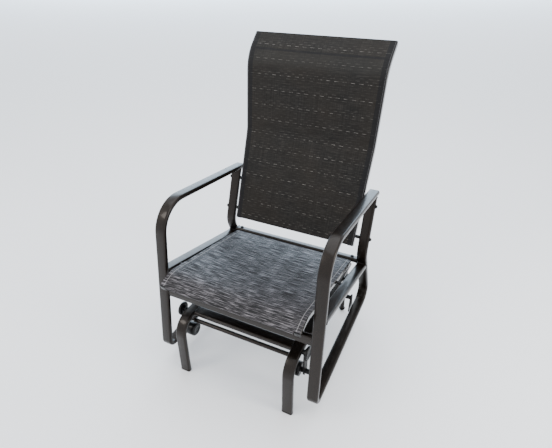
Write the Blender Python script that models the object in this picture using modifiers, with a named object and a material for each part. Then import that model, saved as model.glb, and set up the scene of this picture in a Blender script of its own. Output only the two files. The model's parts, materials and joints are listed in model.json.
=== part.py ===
"""Outdoor glider chair: a steel-tube seat frame hung on four swing links from a floor-standing base.

Metres, +Z up. The chair faces -Y and is symmetric about X = 0. The origin is on the floor, under the
middle of the chair's bounding box. Side views are drawn as (Y, Z) layout points.
"""
import math

import bmesh
import bpy
from mathutils import Matrix, Vector

# ---------------------------------------------------------------- driving dimensions
SHIFT_Y = -0.3533         # from the layout's Y to the chair's own Y
GAP = 0.0003              # clearance between pieces that touch

TUBE_WIDTH = 0.040        # flat-oval frame tube, across X
TUBE_DEPTH = 0.018
TUBE_CORNER = 0.006
FRAME_CENTRE_X = 0.2993   # middle of a side frame's tube, extended to the floor
FRAME_LEAN = -0.015       # X gained per metre upwards: the side frames are wider at the floor
ARM_REAR = (0.582, 0.599)
ARM_CORNER = (0.057, 0.664)
FOOT_CORNER = (-0.006, 0.079)
HEEL_CORNER = (0.606, 0.103)
NECK_CORNER = (0.488, 0.375)
UPRIGHT_TOP = (0.554, 0.590)
ARM_BEND, FOOT_BEND, HEEL_BEND, NECK_BEND = 0.103, 0.026, 0.050, 0.075

SEAT_RAIL_FRONT = (0.026, 0.4169)  # welded rails at seat height
SEAT_RAIL_REAR = (0.510, 0.3080)
FRONT_BAR = (0.027, 0.334)
FRONT_BAR_HEIGHT = 0.040
REAR_BAR = (0.509, 0.327)
REAR_BAR_WIDTH = 0.034

SLING_RAIL = 0.022                 # square rails that the seat cloth is stretched between
SLING_RAIL_X = 0.2465
SEAT_REAR = (0.474, 0.3281)
SEAT_CREST = (0.020, 0.4196)
SEAT_NOSE = (-0.029, 0.4007)
SEAT_BEND = 0.10
CLOTH = 0.0025
CLOTH_EDGE = 0.0015                # the cloth stops this far inside the rails' outer faces
SPREADER = 0.014                   # diameter of the spreader bars

BACK_RAIL = 0.024
BACK_CENTRE_X = 0.2359             # middle of a back rail, extended to the floor
BACK_TAPER = 0.0236                # X gained per metre upwards: the back is wider at its top
BACK_FOOT = (0.488, 0.406)
BACK_LUMBAR = (0.6225, 0.7545)
BACK_CURL = (0.6541, 1.0284)
BACK_TOP = (0.7325, 1.0990)
LUMBAR_BEND, CURL_BEND = 0.12, 0.13

BASE_X = 0.2135
BASE_TOP = 0.236
BASE_FRONT = -0.018
BASE_BEND = 0.062
BASE_RAIL_END = 0.590
BASE_FOOT_HEIGHT = 0.006
REAR_LEG_X, REAR_LEG_Y = 0.2200, 0.560
REAR_LEG_RADIUS = 0.0095
REAR_FOOT_HEIGHT = 0.012
BASE_FRONT_BAR_Y, BASE_REAR_BAR_Y = 0.066, 0.525
BASE_BAR_WIDTH = 0.040
BASE_ROD = (0.047, 0.208)
BASE_ROD_RADIUS = 0.008

PIVOT_Y = {"front": 0.055, "rear": 0.483}
PIVOT_Z = 0.236
LINK_LENGTH = 0.086
LINK_X = 0.2440
LINK_THICKNESS = 0.005
LINK_WIDTH = 0.030
PIN_RADIUS = 0.006
CAP_RADIUS = 0.026
CAP_THICKNESS = 0.010
ROLLER_FROM, ROLLER_TO = 0.197, 0.230
LUG_THICKNESS = 0.004

BOLT_RADIUS = 0.003
BACK_BOLT_Z = {"lower": 0.436, "upper": 0.560}
SEAT_BOLT_Y = {"front": 0.100, "rear": 0.300}

ARC_STEP = math.radians(15)
SIDES = {"right": 1, "left": -1}

COLOURS = {                        # base colour, roughness, metallic
    "frame": ((0.060, 0.058, 0.056), 0.32, 0.85),
    "sling_rail": ((0.050, 0.048, 0.047), 0.35, 0.80),
    "black_plastic": ((0.012, 0.012, 0.013), 0.45, 0.00),
    "black_steel": ((0.020, 0.020, 0.021), 0.40, 0.60),
    "back_cloth": ((0.055, 0.048, 0.044), 0.75, 0.00),
    "seat_cloth": ((0.105, 0.110, 0.125), 0.70, 0.00),
}


# ---------------------------------------------------------------- scene helpers
def clear_scene():
    for item in list(bpy.data.objects):
        bpy.data.objects.remove(item, do_unlink=True)


def new_collection(name):
    made = bpy.data.collections.new(name)
    bpy.context.scene.collection.children.link(made)
    return made


def new_material(name):
    colour, roughness, metallic = COLOURS[name]
    made = bpy.data.materials.new(name)
    made.use_nodes = True
    shader = made.node_tree.nodes["Principled BSDF"]
    shader.inputs["Base Color"].default_value = (*colour, 1.0)
    shader.inputs["Roughness"].default_value = roughness
    shader.inputs["Metallic"].default_value = metallic
    return made


def new_empty(name, y, z):
    """Marks a joint's axis, which runs along X; the pieces that move about it are its children."""
    empty = bpy.data.objects.new(name, None)
    empty.empty_display_type = "SINGLE_ARROW"
    empty.empty_display_size = 0.05
    empty.location = (0, y + SHIFT_Y, z)
    CHAIR.objects.link(empty)
    return empty


def add(name, data, kind, parent):
    """Links a new piece with its material; the parent keeps the piece where it is."""
    data.name = name
    data.materials.clear()
    data.materials.append(MATERIALS[kind])
    item = bpy.data.objects.new(name, data)
    if isinstance(data, bpy.types.Mesh):
        data.shade_smooth()
        data.set_sharp_from_angle(angle=math.radians(35))
    CHAIR.objects.link(item)
    item.parent = parent
    item.matrix_parent_inverse = Matrix.Translation(-parent.location)
    return item


# ---------------------------------------------------------------- geometry helpers
def rounded_rectangle(width, height, radius, steps=2):
    points = []
    for sign_x, sign_y, start in ((1, 1, 0), (-1, 1, 90), (-1, -1, 180), (1, -1, 270)):
        for step in range(steps + 1):
            angle = math.radians(start + 90 * step / steps)
            x = sign_x * (width / 2 - radius) + radius * math.cos(angle)
            y = sign_y * (height / 2 - radius) + radius * math.sin(angle)
            points.append((x, y))
    return points


def arc(centre, radius, start, end, steps):
    """Points on a circle, between two angles in degrees."""
    points = []
    for step in range(steps + 1):
        angle = math.radians(start + (end - start) * step / steps)
        points.append((centre[0] + radius * math.cos(angle), centre[1] + radius * math.sin(angle)))
    return points


def bent_path(corners, bends):
    """Polyline through the corners, each inner corner rounded to its bend radius."""
    path = [Vector(corners[0])]
    for before, corner, after, radius in zip(corners, corners[1:], corners[2:], bends):
        corner = Vector(corner)
        arriving = (corner - Vector(before)).normalized()
        leaving = (Vector(after) - corner).normalized()
        turn = math.atan2(arriving.cross(leaving), arriving.dot(leaving))
        start = corner - arriving * radius * math.tan(abs(turn) / 2)
        normal = Vector((-arriving.y, arriving.x)) * math.copysign(1.0, turn)
        centre = start + normal * radius
        count = max(2, math.ceil(abs(turn) / ARC_STEP))
        for step in range(count + 1):
            path.append(centre + Matrix.Rotation(turn * step / count, 2) @ (start - centre))
    path.append(Vector(corners[-1]))
    return path


def offset_path(path, distance):
    """The path moved to its left-hand side, seen along its direction."""
    moved = []
    for index, point in enumerate(path):
        along = (path[min(index + 1, len(path) - 1)] - path[max(index - 1, 0)]).normalized()
        moved.append(point + Vector((-along.y, along.x)) * distance)
    return moved


def line_at(first, second, y):
    """Height of the line through two layout points."""
    return first[1] + (second[1] - first[1]) * (y - first[0]) / (second[0] - first[0])


def direction(first, second):
    return (Vector(second) - Vector(first)).normalized()


def flat_curve(name, loops, closed=True):
    data = bpy.data.curves.new(name, "CURVE")
    data.dimensions = "2D"
    for points in loops:
        spline = data.splines.new("POLY")
        spline.points.add(len(points) - 1)
        for place, point in zip(spline.points, points):
            place.co = (point[0], point[1], 0.0, 1.0)
        spline.use_cyclic_u = closed
    return data


def plate(name, loops, thickness, rounding=0.0):
    """Extruded outline; the first loop is the outside and the others are holes."""
    data = flat_curve(name, loops)
    data.fill_mode = "BOTH"
    data.extrude = thickness / 2 - rounding
    data.bevel_depth = rounding
    data.bevel_resolution = 1
    data.offset = -rounding
    return as_mesh(data)


def as_mesh(data):
    """The mesh of a curve, with its caps welded on."""
    carrier = bpy.data.objects.new("carrier", data)
    bpy.context.scene.collection.objects.link(carrier)
    bpy.context.view_layer.update()
    graph = bpy.context.evaluated_depsgraph_get()
    mesh = bpy.data.meshes.new_from_object(carrier.evaluated_get(graph))
    bpy.data.objects.remove(carrier, do_unlink=True)
    work = bmesh.new()
    work.from_mesh(mesh)
    bmesh.ops.remove_doubles(work, verts=work.verts, dist=1e-5)
    bmesh.ops.recalc_face_normals(work, faces=work.faces)
    work.to_mesh(mesh)
    work.free()
    return mesh


def tube(name, path, section):
    """Solid tube along a flat path; the section's second axis lies in the path's plane."""
    profile = bpy.data.objects.new("profile", flat_curve("profile", [[(v, u) for u, v in section]]))
    profile.data.fill_mode = "NONE"
    bpy.context.scene.collection.objects.link(profile)
    data = flat_curve(name, [path], closed=False)
    data.fill_mode = "NONE"
    data.bevel_mode = "OBJECT"
    data.bevel_object = profile
    data.use_fill_caps = True
    mesh = as_mesh(data)
    bpy.data.objects.remove(profile, do_unlink=True)
    return mesh


def mitre(mesh, end, outward, point, normal):
    """Slides a tube's end along itself until it lies on a line through a point."""
    end, outward, point, normal = Vector(end), Vector(outward), Vector(point), Vector(normal)
    for vertex in mesh.vertices:
        place = vertex.co.xy
        if abs((place - end).dot(outward)) < 1e-4 and (place - end).length < TUBE_DEPTH:
            slide = (point - place).dot(normal) / outward.dot(normal)
            vertex.co.xy = place + outward * slide


def stand(item, x, side, lean=0.0):
    """Turns a flat layout piece upright into the YZ plane, at X = x on the floor, leaning outwards."""
    item.rotation_euler = (math.pi / 2 + side * math.atan(lean), 0, math.pi / 2)
    item.location = (side * x, SHIFT_Y, 0)
    return item


def x_at(centre, lean, z):
    return centre + lean * z


def frame_x(z, edge=0):
    """X of a right-hand side frame's tube at a height: 1 is its outer face and -1 its inner face."""
    return x_at(FRAME_CENTRE_X, FRAME_LEAN, z) + edge * TUBE_WIDTH / 2


def turned(name, profile, kind, parent, place, turn=(0, 0, 0), steps=16):
    """Solid of revolution about its own Z from (distance along, radius) pairs."""
    mesh = bpy.data.meshes.new(name)
    points = [(radius, 0, along) for along, radius in reversed(profile)]
    mesh.from_pydata(points, [(i, i + 1) for i in range(len(points) - 1)], [])
    item = add(name, mesh, kind, parent)
    item.location = place
    item.rotation_euler = turn
    spin = item.modifiers.new("turn", "SCREW")
    spin.axis = "Z"
    spin.steps = spin.render_steps = steps
    spin.use_merge_vertices = True
    spin.merge_threshold = 1e-5
    return item


def across(name, profile, kind, parent, side, y, z, steps=16):
    """Turned piece along X whose profile distances are X on its own side of the chair."""
    turn = (0, side * math.pi / 2, 0)
    return turned(name, profile, kind, parent, (0, y + SHIFT_Y, z), turn, steps)


def bore(items, name, side, y, z, radius, start, end):
    """Round hole along X through one or more pieces."""
    bpy.ops.mesh.primitive_cylinder_add(vertices=16, radius=radius, depth=end - start)
    cutter = bpy.context.object
    cutter.name = name
    cutter.rotation_euler = (0, math.pi / 2, 0)
    cutter.location = (side * (start + end) / 2, y + SHIFT_Y, z)
    cutter.hide_render = True
    cutter.display_type = "WIRE"
    for owner in list(cutter.users_collection):
        owner.objects.unlink(cutter)
    CUTTERS.objects.link(cutter)
    for item in items:
        cut = item.modifiers.new(name, "BOOLEAN")
        cut.operation = "DIFFERENCE"
        cut.object = cutter


def crossbar(name, half_length, centre, width, depth, kind, parent, tilt=0.0):
    """Flat-oval bar along X."""
    mesh = plate(name, [rounded_rectangle(width, depth, TUBE_CORNER)], 2 * half_length)
    item = add(name, mesh, kind, parent)
    item.rotation_euler = (math.pi / 2, 0, math.pi / 2)
    item.rotation_euler.rotate_axis("Z", tilt)
    item.location = (0, centre[0] + SHIFT_Y, centre[1])
    return item


def plug(name, end, outward, width, depth, corner, parent, x, side, lean):
    """Plastic cap on a tube's open end, laid out with the tube."""
    thickness = 0.004
    mesh = plate(name, [rounded_rectangle(width, depth, corner)], thickness, 0.0014)
    angle = math.atan2(outward[1], outward[0])
    centre = Vector(end) + Vector(outward) * (thickness / 2 + GAP)
    lay = Matrix.Translation((centre.x, centre.y, 0)) @ Matrix.Rotation(angle, 4, "Z")
    mesh.transform(lay @ Matrix.Rotation(math.pi / 2, 4, "Y"))
    return stand(add(name, mesh, "black_plastic", parent), x, side, lean)


# ---------------------------------------------------------------- the base
def make_base(parent):
    section = rounded_rectangle(TUBE_WIDTH, TUBE_DEPTH, TUBE_CORNER)
    corners = [(BASE_FRONT, BASE_FOOT_HEIGHT), (BASE_FRONT, BASE_TOP), (BASE_RAIL_END, BASE_TOP)]
    under_rail = BASE_TOP - TUBE_DEPTH / 2 - GAP
    for word, side in SIDES.items():
        arch = add(f"base_side_{word}", tube("arch", bent_path(corners, [BASE_BEND]), section), "frame", parent)
        stand(arch, BASE_X, side)
        for place, y in PIVOT_Y.items():
            name = f"upper_pivot_hole_{place}_{word}"
            bore([arch], name, side, y, PIVOT_Z, PIN_RADIUS - 0.0015 + GAP, BASE_X - 0.03, BASE_X + 0.03)
        mesh = plate("foot", [rounded_rectangle(TUBE_WIDTH + 0.001, TUBE_DEPTH + 0.001, TUBE_CORNER)],
                     BASE_FOOT_HEIGHT - GAP, 0.0018)
        foot = add(f"base_foot_front_{word}", mesh, "black_plastic", parent)
        foot.location = (side * BASE_X, BASE_FRONT + SHIFT_Y, (BASE_FOOT_HEIGHT - GAP) / 2)
        place = (side * REAR_LEG_X, REAR_LEG_Y + SHIFT_Y, 0)
        profile = [(REAR_FOOT_HEIGHT, 0), (REAR_FOOT_HEIGHT, REAR_LEG_RADIUS),
                   (under_rail, REAR_LEG_RADIUS), (under_rail, 0)]
        turned(f"base_rear_leg_{word}", profile, "frame", parent, place)
        profile = [(0, 0), (0, 0.0065), (0.0025, 0.0095), (0.008, 0.0115), (0.0105, 0.0135)]
        profile += [(REAR_FOOT_HEIGHT - GAP, 0.0135), (REAR_FOOT_HEIGHT - GAP, 0)]
        turned(f"base_foot_rear_{word}", profile, "black_plastic", parent, place)
    half = BASE_X - TUBE_WIDTH / 2 - GAP
    for word, y in (("front", BASE_FRONT_BAR_Y), ("rear", BASE_REAR_BAR_Y)):
        crossbar(f"base_{word}_bar", half, (y, BASE_TOP), BASE_BAR_WIDTH, TUBE_DEPTH, "frame", parent)
    profile = [(-half, 0), (-half, BASE_ROD_RADIUS), (half, BASE_ROD_RADIUS), (half, 0)]
    across("base_front_rod", profile, "frame", parent, 1, *BASE_ROD, steps=20)


# ---------------------------------------------------------------- swing links and pivots
def make_links(front_links, rear_links, base, seat):
    lower = -LINK_LENGTH
    half = LINK_WIDTH / 2
    link_in, link_out = LINK_X - LINK_THICKNESS / 2, LINK_X + LINK_THICKNESS / 2
    for place, y in PIVOT_Y.items():
        parent = front_links if place == "front" else rear_links
        for word, side in SIDES.items():
            outline = arc((0, 0), half, 0, 180, 10) + arc((0, lower), half, 180, 360, 10)
            eyes = [arc((0, z), PIN_RADIUS + GAP, 0, 342, 19) for z in (0, lower)]
            mesh = plate("link", [outline, *eyes], LINK_THICKNESS)
            link = add(f"swing_link_{place}_{word}", mesh, "black_steel", parent)
            stand(link, LINK_X, side)
            link.location = (side * LINK_X, y + SHIFT_Y, PIVOT_Z)
            across(f"upper_pivot_bolt_{place}_{word}", upper_bolt(link_in, link_out), "black_steel",
                   base, side, y, PIVOT_Z)
            across(f"lower_pivot_pin_{place}_{word}", lower_pin(link_in, link_out), "black_steel",
                   seat, side, y, PIVOT_Z - LINK_LENGTH)


def upper_bolt(link_in, link_out):
    """Threaded end in the base rail, collar, bearing for the link, and the round cap outside it."""
    tip = BASE_X - TUBE_WIDTH / 2 + 0.001
    outer = BASE_X + TUBE_WIDTH / 2 + GAP
    shank = PIN_RADIUS - 0.0015
    cap = link_out + GAP
    end = cap + CAP_THICKNESS
    return [
        (tip, 0), (tip, shank - 0.0008), (tip + 0.0008, shank), (outer, shank), (outer, 0.0090),
        (link_in - GAP, 0.0090), (link_in - GAP, PIN_RADIUS), (cap, PIN_RADIUS),
        (cap, CAP_RADIUS - 0.001), (cap + 0.001, CAP_RADIUS), (end - 0.004, CAP_RADIUS),
        (end - 0.0012, CAP_RADIUS - 0.0028), (end, CAP_RADIUS - 0.008), (end, 0),
    ]


def lower_pin(link_in, link_out):
    """Stop roller inside the base side, bearing for the link, spacer, and a riveted head on the lug."""
    lug_in = lug_inner_x() - GAP
    lug_out = lug_in + LUG_THICKNESS + 2 * GAP
    return [
        (ROLLER_FROM, 0), (ROLLER_FROM, CAP_RADIUS - 0.005), (ROLLER_FROM + 0.0015, CAP_RADIUS - 0.0015),
        (ROLLER_FROM + 0.004, CAP_RADIUS), (ROLLER_TO - 0.002, CAP_RADIUS), (ROLLER_TO, CAP_RADIUS - 0.002),
        (ROLLER_TO, 0.0090), (link_in - GAP, 0.0090), (link_in - GAP, PIN_RADIUS), (link_out + GAP, PIN_RADIUS),
        (link_out + GAP, 0.0090), (lug_in, 0.0090), (lug_in, PIN_RADIUS - 0.001), (lug_out, PIN_RADIUS - 0.001),
        (lug_out, 0.0080), (lug_out + 0.0015, 0.0075), (lug_out + 0.003, 0.0050), (lug_out + 0.0034, 0),
    ]


def lug_inner_x():
    return frame_x(PIVOT_Z - LINK_LENGTH, -1) - LUG_THICKNESS - 0.0015


def make_lugs(parent):
    """Plates that stand on the bottom rails, against their inner faces, and hold the lower pins."""
    pivot_z = PIVOT_Z - LINK_LENGTH
    for place, y in PIVOT_Y.items():
        low = line_at(FOOT_CORNER, HEEL_CORNER, y) - 0.006 - pivot_z
        for word, side in SIDES.items():
            outline = [(-0.024, low), (0.024, low)] + arc((0, 0), 0.015, -10, 190, 14)
            mesh = plate("lug", [outline, arc((0, 0), PIN_RADIUS - 0.001 + GAP, 0, 342, 19)], LUG_THICKNESS)
            lug = add(f"pivot_lug_{place}_{word}", mesh, "frame", parent)
            stand(lug, 0, side)
            lug.location = (side * (lug_inner_x() + LUG_THICKNESS / 2), y + SHIFT_Y, pivot_z)


# ---------------------------------------------------------------- the gliding frame
def upright_y(z):
    return NECK_CORNER[0] + (UPRIGHT_TOP[0] - NECK_CORNER[0]) * (z - NECK_CORNER[1]) / (
        UPRIGHT_TOP[1] - NECK_CORNER[1])


def make_side_frames(parent):
    """Arm, front leg, bottom rail, rear leg and upright of each side, bent from one tube."""
    section = rounded_rectangle(TUBE_WIDTH, TUBE_DEPTH, TUBE_CORNER)
    corners = [ARM_REAR, ARM_CORNER, FOOT_CORNER, HEEL_CORNER, NECK_CORNER, UPRIGHT_TOP]
    path = bent_path(corners, [ARM_BEND, FOOT_BEND, HEEL_BEND, NECK_BEND])
    arm = direction(ARM_CORNER, ARM_REAR)
    under_arm = Vector(ARM_REAR) - Vector((-arm.y, arm.x)) * (TUBE_DEPTH / 2 + GAP)
    frames = {}
    for word, side in SIDES.items():
        mesh = tube("side", path, section)
        mitre(mesh, UPRIGHT_TOP, direction(NECK_CORNER, UPRIGHT_TOP), under_arm, (-arm.y, arm.x))
        frames[word] = stand(add(f"side_frame_{word}", mesh, "frame", parent), FRAME_CENTRE_X, side, FRAME_LEAN)
        plug(f"arm_plug_{word}", ARM_REAR, arm, TUBE_WIDTH, TUBE_DEPTH, TUBE_CORNER, parent,
             FRAME_CENTRE_X, side, FRAME_LEAN)
    return frames


def make_seat_frame(parent):
    """Seat-height rails between the legs, and the bars that join the two sides."""
    section = rounded_rectangle(TUBE_WIDTH, TUBE_DEPTH, TUBE_CORNER)
    leg = direction(FOOT_CORNER, ARM_CORNER)
    heel = direction(HEEL_CORNER, NECK_CORNER)
    leg_normal, heel_normal = Vector((leg.y, -leg.x)), Vector((heel.y, -heel.x))
    along = direction(SEAT_RAIL_FRONT, SEAT_RAIL_REAR)
    half = TUBE_DEPTH / 2 + GAP
    rails = {}
    for word, side in SIDES.items():
        mesh = tube("rail", [Vector(SEAT_RAIL_FRONT), Vector(SEAT_RAIL_REAR)], section)
        mitre(mesh, SEAT_RAIL_FRONT, -along, Vector(FOOT_CORNER) + leg_normal * half, leg_normal)
        mitre(mesh, SEAT_RAIL_REAR, along, Vector(HEEL_CORNER) - heel_normal * half, heel_normal)
        rails[word] = stand(add(f"seat_rail_{word}", mesh, "frame", parent), FRAME_CENTRE_X, side, FRAME_LEAN)
    reach = frame_x(FRONT_BAR[1] + FRONT_BAR_HEIGHT / 2, -1) - GAP
    crossbar("front_crossbar", reach, FRONT_BAR, TUBE_DEPTH, FRONT_BAR_HEIGHT, "frame", parent)
    reach = frame_x(REAR_BAR[1] + TUBE_DEPTH, -1) - GAP
    tilt = math.atan2(along.y, along.x)
    crossbar("rear_crossbar", reach, REAR_BAR, REAR_BAR_WIDTH, TUBE_DEPTH, "frame", parent, tilt)
    return rails


# ---------------------------------------------------------------- seat and back
def strip(name, path, half_width, kind, parent):
    """Cloth: an open strip along a path, thickened; half_width takes a height."""
    work = bmesh.new()
    bmesh.ops.create_grid(work, x_segments=1, y_segments=len(path) - 1, size=1.0)
    for vertex in work.verts:
        point = path[round((vertex.co.y + 1) / 2 * (len(path) - 1))]
        vertex.co = (math.copysign(half_width(point.y), vertex.co.x), point.x + SHIFT_Y, point.y)
    mesh = bpy.data.meshes.new(name)
    work.to_mesh(mesh)
    work.free()
    item = add(name, mesh, kind, parent)
    thick = item.modifiers.new("thickness", "SOLIDIFY")
    thick.thickness = CLOTH
    thick.offset = 0.0
    thick.use_even_offset = True
    return item


def spreader(name, half, place, parent):
    profile = [(-half, 0), (-half, SPREADER / 2), (half, SPREADER / 2), (half, 0)]
    across(name, profile, "sling_rail", parent, 1, *place, steps=12)


def make_seat(parent):
    path = bent_path([SEAT_REAR, SEAT_CREST, SEAT_NOSE], [SEAT_BEND])
    section = rounded_rectangle(SLING_RAIL, SLING_RAIL, 0.004)
    rails = {}
    for word, side in SIDES.items():
        rail = add(f"seat_sling_rail_{word}", tube("rail", path, section), "sling_rail", parent)
        rails[word] = stand(rail, SLING_RAIL_X, side)
        plug(f"seat_nose_plug_{word}", path[-1], direction(path[-2], path[-1]), SLING_RAIL, SLING_RAIL,
             0.004, parent, SLING_RAIL_X, side, 0.0)
    lift = SLING_RAIL / 2 + CLOTH / 2 + GAP
    edge = SLING_RAIL_X + SLING_RAIL / 2 - CLOTH_EDGE
    strip("seat_sling", offset_path(path, -lift), lambda z: edge, "seat_cloth", parent)
    half = SLING_RAIL_X - SLING_RAIL / 2 - GAP
    front, rear = path[-1], path[0]
    inward = direction(path[-1], path[-2]) * 0.014
    spreader("seat_spreader_front", half, front + inward + Vector((0.002, -0.005)), parent)
    inward = direction(path[0], path[1]) * 0.020
    spreader("seat_spreader_rear", half, rear + inward + Vector((0, -0.003)), parent)
    return rails


def back_x(z):
    return x_at(BACK_CENTRE_X, BACK_TAPER, z)


def make_back(parent):
    path = bent_path([BACK_FOOT, BACK_LUMBAR, BACK_CURL, BACK_TOP], [LUMBAR_BEND, CURL_BEND])
    section = rounded_rectangle(BACK_RAIL, BACK_RAIL, 0.005)
    rails = {}
    for word, side in SIDES.items():
        rail = add(f"back_rail_{word}", tube("rail", path, section), "sling_rail", parent)
        rails[word] = stand(rail, BACK_CENTRE_X, side, BACK_TAPER)
        for label, end, before in (("foot", path[0], path[1]), ("top", path[-1], path[-2])):
            plug(f"back_{label}_plug_{word}", end, direction(before, end), BACK_RAIL, BACK_RAIL, 0.005,
                 parent, BACK_CENTRE_X, side, BACK_TAPER)
    edge = BACK_RAIL / 2 + 2 * GAP
    lift = BACK_RAIL / 2 + CLOTH / 2 + GAP
    reach = BACK_RAIL / 2 - CLOTH_EDGE
    strip("back_sling", offset_path(path, lift), lambda z: back_x(z) + reach, "back_cloth", parent)
    for label, end, before in (("lower", path[0], path[1]), ("upper", path[-1], path[-2])):
        inward = direction(end, before)
        side_step = Vector((0.0035, -0.0035))
        place = end + inward * 0.016 + side_step
        spreader(f"back_spreader_{label}", back_x(place.y - SPREADER / 2) - edge, place, parent)
    return rails


# ---------------------------------------------------------------- fasteners
def bolt_profile(rail_in, rail_out, frame_in, frame_out, head=True):
    """Threaded end in the sling rail, spacer between rail and frame, and a domed head or a flush end."""
    tip, nut = rail_in + 0.001, frame_out + 2 * GAP
    start, end = rail_out + 2 * GAP, frame_in - 2 * GAP
    profile = [
        (tip, 0), (tip, BOLT_RADIUS - 0.0006), (tip + 0.0006, BOLT_RADIUS), (start, BOLT_RADIUS),
        (start, 0.0068), (end, 0.0068), (end, BOLT_RADIUS),
    ]
    if not head:
        return profile + [(frame_out - 0.0008, BOLT_RADIUS), (frame_out - 0.0008, 0)]
    return profile + [
        (nut, BOLT_RADIUS), (nut, 0.0078), (nut + 0.0012, 0.0078), (nut + 0.0014, 0.0058),
        (nut + 0.0040, 0.0056), (nut + 0.0056, 0.0036), (nut + 0.0062, 0),
    ]


def make_fasteners(parent, frames, rails, seat_rails, back_rails):
    """Back bolts with domed heads outside the uprights; seat bolts that end flush in the seat rails."""
    for label, z in BACK_BOLT_Z.items():
        y = upright_y(z)
        rail = back_x(z)
        faces = (rail - BACK_RAIL / 2, rail + BACK_RAIL / 2, frame_x(z, -1), frame_x(z, 1))
        for word, side in SIDES.items():
            name = f"back_bolt_hole_{label}_{word}"
            bore([frames[word], back_rails[word]], name, side, y, z, BOLT_RADIUS + GAP, 0.20, 0.36)
            across(f"back_bolt_{label}_{word}", bolt_profile(*faces), "black_steel", parent, side, y, z, 12)
    for label, y in SEAT_BOLT_Y.items():
        z = (line_at(SEAT_REAR, SEAT_CREST, y) + line_at(SEAT_RAIL_REAR, SEAT_RAIL_FRONT, y)) / 2
        rail = SLING_RAIL_X
        faces = (rail - SLING_RAIL / 2, rail + SLING_RAIL / 2, frame_x(z, -1), frame_x(z, 1))
        for word, side in SIDES.items():
            name = f"seat_bolt_hole_{label}_{word}"
            bore([rails[word], seat_rails[word]], name, side, y, z, BOLT_RADIUS + GAP, 0.20, 0.36)
            across(f"seat_bolt_{label}_{word}", bolt_profile(*faces, head=False), "black_steel",
                   parent, side, y, z, 12)


clear_scene()
CHAIR = new_collection("glider_chair")
CUTTERS = new_collection("cutters")
MATERIALS = {kind: new_material(kind) for kind in COLOURS}
BASE = new_empty("base_origin", -SHIFT_Y, 0)
FRONT_LINKS = new_empty("front_link_axis", PIVOT_Y["front"], PIVOT_Z)
REAR_LINKS = new_empty("rear_link_axis", PIVOT_Y["rear"], PIVOT_Z)
SEAT = new_empty("seat_axis", PIVOT_Y["front"], PIVOT_Z - LINK_LENGTH)
make_base(BASE)
make_links(FRONT_LINKS, REAR_LINKS, BASE, SEAT)
make_lugs(SEAT)
FRAMES = make_side_frames(SEAT)
FRAME_RAILS = make_seat_frame(SEAT)
SEAT_RAILS = make_seat(SEAT)
BACK_RAILS = make_back(SEAT)
make_fasteners(SEAT, FRAMES, FRAME_RAILS, SEAT_RAILS, BACK_RAILS)
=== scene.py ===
import json
import math

import bmesh
import bpy
from mathutils import Matrix, Vector


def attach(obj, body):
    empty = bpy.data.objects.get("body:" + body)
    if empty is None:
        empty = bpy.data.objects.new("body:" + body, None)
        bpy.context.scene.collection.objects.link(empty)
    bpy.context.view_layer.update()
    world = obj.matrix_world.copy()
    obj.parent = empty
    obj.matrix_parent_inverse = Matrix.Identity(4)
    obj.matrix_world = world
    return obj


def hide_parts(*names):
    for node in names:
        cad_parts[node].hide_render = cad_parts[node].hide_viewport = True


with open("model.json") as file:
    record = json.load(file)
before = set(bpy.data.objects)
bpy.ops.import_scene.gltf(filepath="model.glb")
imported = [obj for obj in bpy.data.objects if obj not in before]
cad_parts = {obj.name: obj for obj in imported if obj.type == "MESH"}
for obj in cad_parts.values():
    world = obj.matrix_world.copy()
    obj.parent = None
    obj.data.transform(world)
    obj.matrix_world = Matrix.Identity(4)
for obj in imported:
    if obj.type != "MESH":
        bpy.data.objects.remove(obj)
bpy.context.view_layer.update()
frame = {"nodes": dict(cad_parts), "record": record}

# ------------------------------------------------------------------ shape of the chair, in metres
SHIFT_Y = -0.3533          # layout Y to the chair's own Y
SIDES = {"right": 1, "left": -1}

TUBE_WIDTH, TUBE_DEPTH, TUBE_CORNER = 0.040, 0.018, 0.0065
FRAME_X, FRAME_LEAN = 0.2993, -0.015
ARM_REAR, ARM_CORNER = (0.582, 0.599), (0.057, 0.664)
FOOT_CORNER, HEEL_CORNER = (-0.006, 0.079), (0.606, 0.103)
NECK_CORNER, UPRIGHT_TOP = (0.488, 0.375), (0.554, 0.590)
FRAME_BENDS = (0.103, 0.026, 0.050, 0.075)
SEAT_RAIL_FRONT, SEAT_RAIL_REAR = (0.026, 0.4169), (0.510, 0.3080)
FRONT_BAR, FRONT_BAR_HEIGHT = (0.027, 0.334), 0.040
REAR_BAR, REAR_BAR_WIDTH = (0.509, 0.327), 0.034
CORNER_SCREW_X = 0.252

SLING_RAIL, SLING_CORNER, SLING_RAIL_X = 0.022, 0.004, 0.2465
SEAT_CORNERS, SEAT_BEND = [(0.474, 0.3281), (0.020, 0.4196), (-0.029, 0.4007)], 0.10
BACK_RAIL, BACK_CORNER, BACK_X, BACK_TAPER = 0.024, 0.0045, 0.2359, 0.0236
BACK_CORNERS = [(0.488, 0.406), (0.6225, 0.7545), (0.6541, 1.0284), (0.7325, 1.0990)]
BACK_BENDS = (0.12, 0.13)
CLOTH, CLOTH_EDGE, WEAVE_PITCH = 0.0016, 0.0015, 0.0016
SEAT_SAG, BACK_SAG, SEAT_FOLD = 0.007, 0.006, 0.0065

BASE_X, BASE_TOP, BASE_FRONT, BASE_BEND = 0.2135, 0.236, -0.018, 0.062
BASE_RAIL_END, BASE_FOOT_HEIGHT = 0.590, 0.006
BASE_BARS, BASE_BAR_WIDTH = {"front": 0.066, "rear": 0.525}, 0.040
BASE_ROD, BASE_ROD_RADIUS = (0.047, 0.208), 0.008
REAR_LEG_X, REAR_LEG_Y, REAR_LEG_RADIUS, REAR_FOOT_HEIGHT = 0.2200, 0.560, 0.0095, 0.012

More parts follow.
